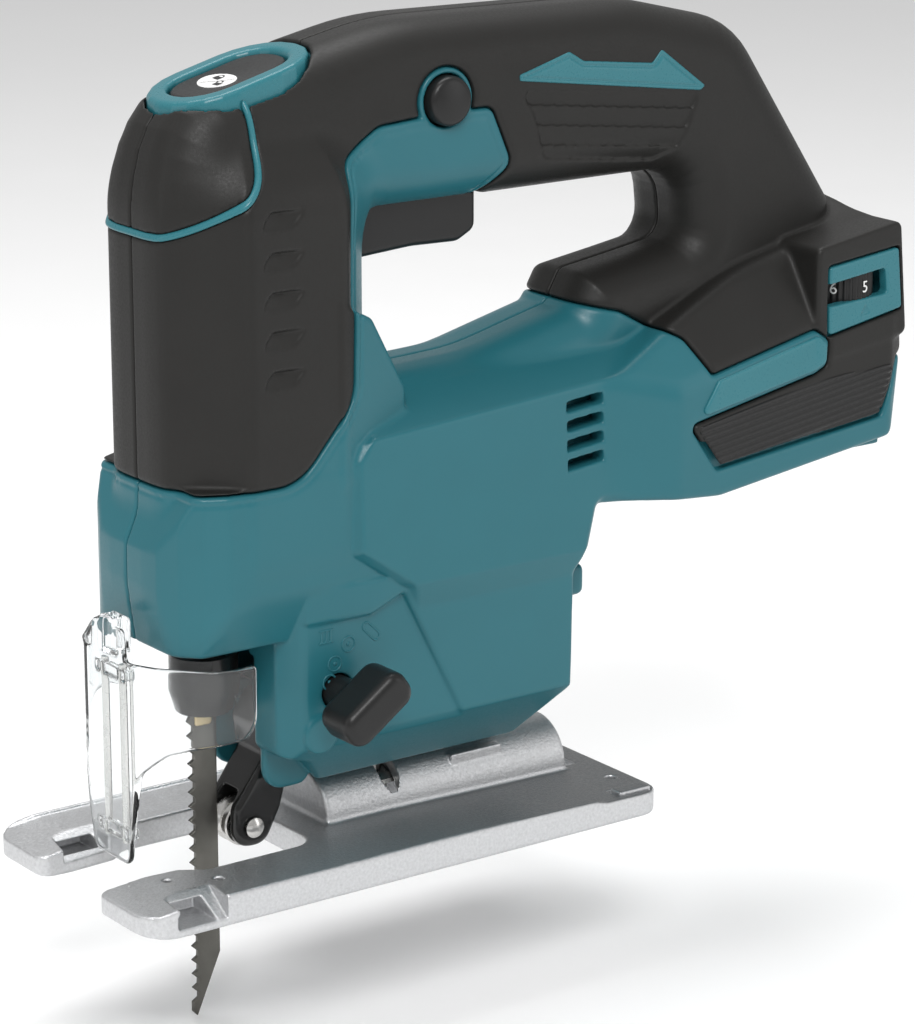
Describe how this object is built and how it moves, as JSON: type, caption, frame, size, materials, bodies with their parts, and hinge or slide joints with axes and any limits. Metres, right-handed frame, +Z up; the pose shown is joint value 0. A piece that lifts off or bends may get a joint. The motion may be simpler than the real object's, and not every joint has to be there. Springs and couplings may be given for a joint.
{
  "type": "jigsaw",
  "caption": "Cordless D-handle jigsaw with a reciprocating toothed blade, tilting sole plate, clear dust guard, orbital selector lever, trigger and slide-on battery socket.",
  "frame": {"origin": "on the sole's flat underside, at the middle of the base plate's length and width", "axes": "the blade end faces -X and the battery end +X, the operator's left side faces -Y, +Z up from the sole"},
  "size_m": [0.2426, 0.0825, 0.2495],
  "materials": {
    "teal_plastic": "fine satin texture",
    "soft_grip": "matt elastomer",
    "black_plastic": "satin",
    "grey_plastic": "satin",
    "clear_plastic": "clear polycarbonate",
    "white_lens": "milky lens",
    "cast_aluminium": "bead-blasted die casting",
    "steel": "ground",
    "blade_steel": "ground flat",
    "bronze": "plain",
    "copper": "enamelled wire"
  },
  "bodies": {
    "frame": {"housing_left": "teal_plastic", "housing_right": "teal_plastic", "grip_left": "soft_grip", "grip_right": "soft_grip", "base_lock_shoe": "steel", "base_lock_bolt": "steel", "lower_bush": "bronze", "upper_bush": "bronze", "gear_frame": "cast_aluminium", "gear_bearing": "steel", "motor_stator": "steel", "winding_front": "copper", "winding_rear": "copper", "motor_bearing_front": "steel", "motor_bearing_rear": "steel", "controller": "grey_plastic", "switch_body": "black_plastic", "power_ring": "teal_plastic", "dial_bezel": "teal_plastic", "terminal_block": "black_plastic", "terminal_left": "steel", "terminal_right": "steel", "work_light": "white_lens", "fork_pivot_pin": "steel", "label_left": "teal_plastic", "label_right": "teal_plastic", "rib_plate_left": "black_plastic", "rib_plate_right": "black_plastic", "handle_trim_left": "teal_plastic", "handle_trim_right": "teal_plastic", "housing_screw_1": "steel", "housing_screw_2": "steel", "housing_screw_3": "steel", "housing_screw_4": "steel", "housing_screw_5": "steel", "housing_screw_6": "steel", "housing_screw_7": "steel"},
    "base": {"base_plate": "cast_aluminium"},
    "guard": {"dust_guard": "clear_plastic", "guard_wire_left": "steel", "guard_wire_right": "steel"},
    "plunger": {"plunger": "steel", "clamp_core": "bronze", "blade": "blade_steel"},
    "collar": {"clamp_collar": "black_plastic"},
    "counterweight": {"counterweight": "steel"},
    "crank": {"crank_gear": "steel"},
    "rotor": {"motor_rotor": "steel", "motor_fan": "black_plastic"},
    "trigger": {"trigger": "black_plastic"},
    "lock": {"lock_button": "black_plastic"},
    "power": {"power_button": "black_plastic"},
    "dial": {"speed_dial": "black_plastic"},
    "lever": {"orbital_lever": "black_plastic"},
    "fork": {"roller_fork": "steel"},
    "roller": {"roller": "steel", "roller_pin": "steel"},
    "key": {"hex_key": "steel"}
  },
  "joints": [
    {"name": "base_tilt", "type": "hinge", "parent": "frame", "child": "base", "pos_m": [0, 0, 0.008], "axis": [1, 0, 0], "range_deg": [-45, 45]},
    {"name": "guard_slide", "type": "slide", "parent": "frame", "child": "guard", "axis": [0, 0, 1], "range_m": [0, 0.022]},
    {"name": "plunger_slide", "type": "slide", "parent": "frame", "child": "plunger", "axis": [0, 0, 1], "range_m": [-0.013, 0.013]},
    {"name": "collar_turn", "type": "hinge", "parent": "plunger", "child": "collar", "pos_m": [-0.038, 0, 0.05], "axis": [0, 0, 1], "range_deg": [0, 60], "stiffness_Nm_per_rad": 0.05, "springref_deg": -17.19},
    {"name": "counterweight_slide", "type": "slide", "parent": "frame", "child": "counterweight", "axis": [0, 0, 1], "range_m": [-0.013, 0.013]},
    {"name": "crank_spin", "type": "hinge", "parent": "frame", "child": "crank", "pos_m": [-0.018, 0, 0.124], "axis": [1, 0, 0], "continuous": true},
    {"name": "rotor_spin", "type": "hinge", "parent": "frame", "child": "rotor", "pos_m": [0.008, 0, 0.098], "axis": [1, 0, 0], "continuous": true},
    {"name": "trigger_pull", "type": "hinge", "parent": "frame", "child": "trigger", "pos_m": [0.0015, 0, 0.168], "axis": [0, -1, 0], "range_deg": [0, 6], "stiffness_Nm_per_rad": 1.5, "springref_deg": -5.73},
    {"name": "lock_press", "type": "slide", "parent": "frame", "child": "lock", "axis": [0, 1, 0], "range_m": [0, 0.003], "stiffness_N_per_m": 400, "springref_m": -0.002},
    {"name": "power_press", "type": "slide", "parent": "frame", "child": "power", "axis": [0, 0, -1], "range_m": [0, 0.0015], "stiffness_N_per_m": 500, "springref_m": -0.001},
    {"name": "dial_turn", "type": "hinge", "parent": "frame", "child": "dial", "pos_m": [0.147, -0.0247, 0.132], "axis": [0, 0, 1], "range_deg": [-240, 60]},
    {"name": "lever_turn", "type": "hinge", "parent": "frame", "child": "lever", "pos_m": [-0.0148, -0.038, 0.0481], "axis": [0, 1, 0], "range_deg": [0, 90]},
    {"name": "fork_swing", "type": "hinge", "parent": "frame", "child": "fork", "pos_m": [-0.02, 0, 0.038], "axis": [0, -1, 0], "range_deg": [0, 4]},
    {"name": "roller_spin", "type": "hinge", "parent": "fork", "child": "roller", "pos_m": [-0.0285, 0, 0.01], "axis": [0, 1, 0], "continuous": true},
    {"name": "hex_key_slide", "type": "slide", "parent": "frame", "child": "key", "axis": [1, 0, 0], "range_m": [0, 0.055]}
  ],
  "couplings": [
    {"joint": "counterweight_slide", "follows": "plunger_slide", "ratio": -1},
    {"joint": "rotor_spin", "follows": "crank_spin", "ratio": -5.5}
  ]
}
